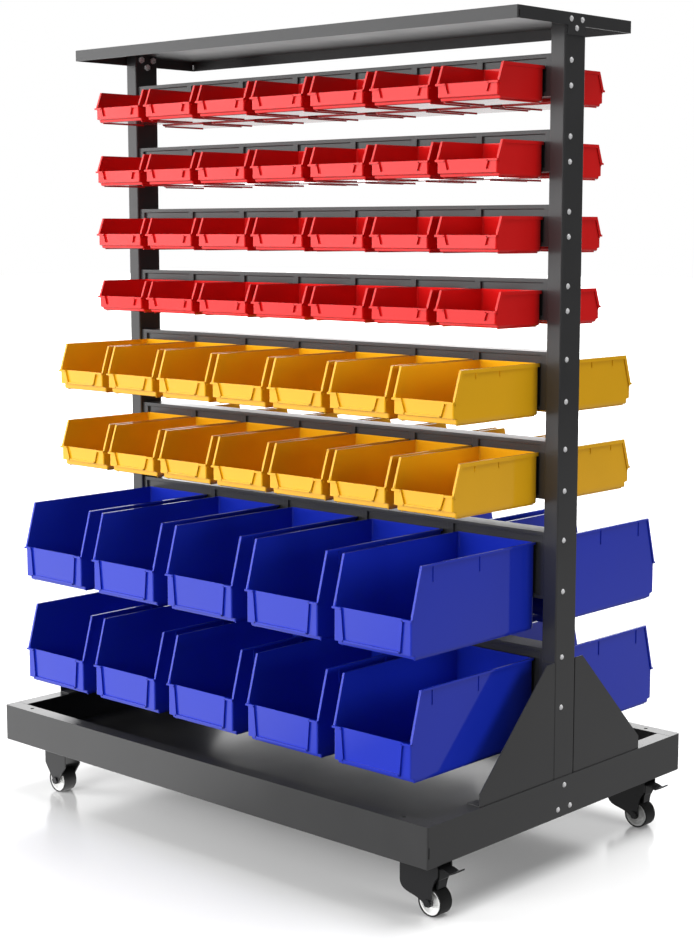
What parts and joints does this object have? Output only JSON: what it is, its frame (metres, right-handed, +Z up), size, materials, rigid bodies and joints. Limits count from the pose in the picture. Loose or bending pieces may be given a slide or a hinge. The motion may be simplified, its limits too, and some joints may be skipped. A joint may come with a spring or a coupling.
{
  "type": "mobile bin cart",
  "caption": "Double-sided mobile rack of open-front storage bins hung on horizontal rails between two posts, over a sheet-metal tray base on casters.",
  "frame": {"origin": "middle of the footprint on the floor under the wheels", "axes": "+X along the cart towards the swivel casters, -Y towards the front, +Z up"},
  "size_m": [1.0136, 0.668, 1.331],
  "materials": {
    "frame_coat": "satin powder coat",
    "red_plastic": "smooth moulded",
    "yellow_plastic": "smooth moulded",
    "blue_plastic": "smooth moulded",
    "zinc_fastener": "zinc plated",
    "caster_steel": "satin",
    "bright_steel": "plain",
    "wheel_plastic": "moulded",
    "tyre": "matte",
    "pedal_steel": "satin"
  },
  "bodies": {
    "cart": {"base_bolts": "zinc_fastener", "base_tray": "frame_coat", "blue_bins_front": "blue_plastic", "blue_bins_rear": "blue_plastic", "caster_axle_left_front": "bright_steel", "caster_axle_left_rear": "bright_steel", "caster_bolts": "zinc_fastener", "caster_bracket_left_front": "caster_steel", "caster_bracket_left_rear": "caster_steel", "caster_nuts": "zinc_fastener", "caster_plate_right_front": "caster_steel", "caster_plate_right_rear": "caster_steel", "frame_nuts": "zinc_fastener", "gusset_left_front": "frame_coat", "gusset_left_rear": "frame_coat", "gusset_right_front": "frame_coat", "gusset_right_rear": "frame_coat", "kingpin_right_front": "bright_steel", "kingpin_right_rear": "bright_steel", "left_post": "frame_coat", "rail_1": "frame_coat", "rail_2": "frame_coat", "rail_3": "frame_coat", "rail_4": "frame_coat", "rail_5": "frame_coat", "rail_6": "frame_coat", "rail_7": "frame_coat", "rail_8": "frame_coat", "rail_bolts": "zinc_fastener", "red_bins_front": "red_plastic", "red_bins_rear": "red_plastic", "right_post": "frame_coat", "shelf_bolts": "zinc_fastener", "top_shelf": "frame_coat", "yellow_bins_front": "yellow_plastic", "yellow_bins_rear": "yellow_plastic"},
    "swivel_right_front": {"caster_fork_right_front": "caster_steel", "caster_axle_right_front": "bright_steel", "brake_pin_right_front": "bright_steel", "swivel_balls_right_front": "bright_steel"},
    "brake_right_front": {"brake_pedal_right_front": "pedal_steel"},
    "swivel_right_rear": {"caster_fork_right_rear": "caster_steel", "caster_axle_right_rear": "bright_steel", "brake_pin_right_rear": "bright_steel", "swivel_balls_right_rear": "bright_steel"},
    "brake_right_rear": {"brake_pedal_right_rear": "pedal_steel"},
    "wheel_right_front": {"wheel_core_right_front": "wheel_plastic", "tyre_right_front": "tyre"},
    "wheel_right_rear": {"wheel_core_right_rear": "wheel_plastic", "tyre_right_rear": "tyre"},
    "wheel_left_front": {"wheel_core_left_front": "wheel_plastic", "tyre_left_front": "tyre"},
    "wheel_left_rear": {"wheel_core_left_rear": "wheel_plastic", "tyre_left_rear": "tyre"},
    "red_bin": {"red_bin_lifting": "red_plastic"},
    "yellow_bin": {"yellow_bin_lifting": "yellow_plastic"},
    "blue_bin": {"blue_bin_lifting": "blue_plastic"}
  },
  "joints": [
    {"name": "swivel_turn_right_front", "type": "hinge", "parent": "cart", "child": "swivel_right_front", "pos_m": [0.438, -0.273, 0.09], "axis": [0, 0, 1], "continuous": true},
    {"name": "wheel_spin_right_front", "type": "hinge", "parent": "swivel_right_front", "child": "wheel_right_front", "pos_m": [0.4638, -0.273, 0.0225], "axis": [0, 1, 0], "continuous": true},
    {"name": "brake_press_right_front", "type": "hinge", "parent": "swivel_right_front", "child": "brake_right_front", "pos_m": [0.476, -0.273, 0.062], "axis": [0, 1, 0], "range_deg": [0, 15]},
    {"name": "swivel_turn_right_rear", "type": "hinge", "parent": "cart", "child": "swivel_right_rear", "pos_m": [0.438, 0.273, 0.09], "axis": [0, 0, 1], "continuous": true},
    {"name": "wheel_spin_right_rear", "type": "hinge", "parent": "swivel_right_rear", "child": "wheel_right_rear", "pos_m": [0.4638, 0.273, 0.0225], "axis": [0, 1, 0], "continuous": true},
    {"name": "brake_press_right_rear", "type": "hinge", "parent": "swivel_right_rear", "child": "brake_right_rear", "pos_m": [0.476, 0.273, 0.062], "axis": [0, 1, 0], "range_deg": [0, 15]},
    {"name": "wheel_spin_left_front", "type": "hinge", "parent": "cart", "child": "wheel_left_front", "pos_m": [-0.4165, -0.273, 0.0225], "axis": [0, 1, 0], "continuous": true},
    {"name": "wheel_spin_left_rear", "type": "hinge", "parent": "cart", "child": "wheel_left_rear", "pos_m": [-0.4165, 0.273, 0.0225], "axis": [0, 1, 0], "continuous": true},
    {"name": "red_bin_lift", "type": "slide", "parent": "cart", "child": "red_bin", "axis": [0, 0, 1], "range_m": [0, 0.0095]},
    {"name": "yellow_bin_lift", "type": "slide", "parent": "cart", "child": "yellow_bin", "axis": [0, 0, 1], "range_m": [0, 0.0095]},
    {"name": "blue_bin_lift", "type": "slide", "parent": "cart", "child": "blue_bin", "axis": [0, 0, 1], "range_m": [0, 0.0095]}
  ]
}
